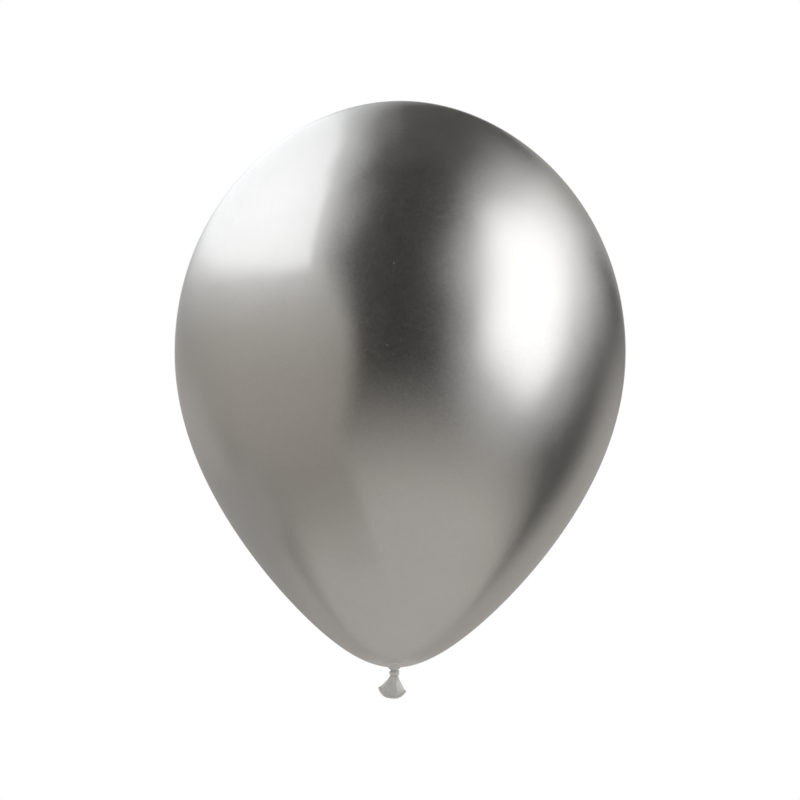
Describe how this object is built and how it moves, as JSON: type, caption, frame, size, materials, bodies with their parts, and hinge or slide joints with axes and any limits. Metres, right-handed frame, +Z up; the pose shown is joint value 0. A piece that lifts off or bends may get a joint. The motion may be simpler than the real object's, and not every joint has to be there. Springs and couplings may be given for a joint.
{
  "type": "chrome latex balloon",
  "caption": "Tied drop-shaped latex balloon with a silver mirror-like skin: thin envelope, gathered neck, wound knot, and a flared tail with a rolled lip.",
  "frame": {"origin": "centre of the envelope's widest circle", "axes": "+Z up along the envelope's axis towards its top, -Y towards the viewer of the picture, who sees the tail's broad face"},
  "size_m": [0.33, 0.33, 0.4374],
  "materials": {
    "stretched_latex": "gloss",
    "slack_latex": "satin"
  },
  "bodies": {
    "root": {"envelope": "stretched_latex", "gathered_neck": "slack_latex", "knot": "slack_latex", "tail_skirt": "slack_latex", "rolled_lip": "slack_latex"}
  },
  "joints": []
}
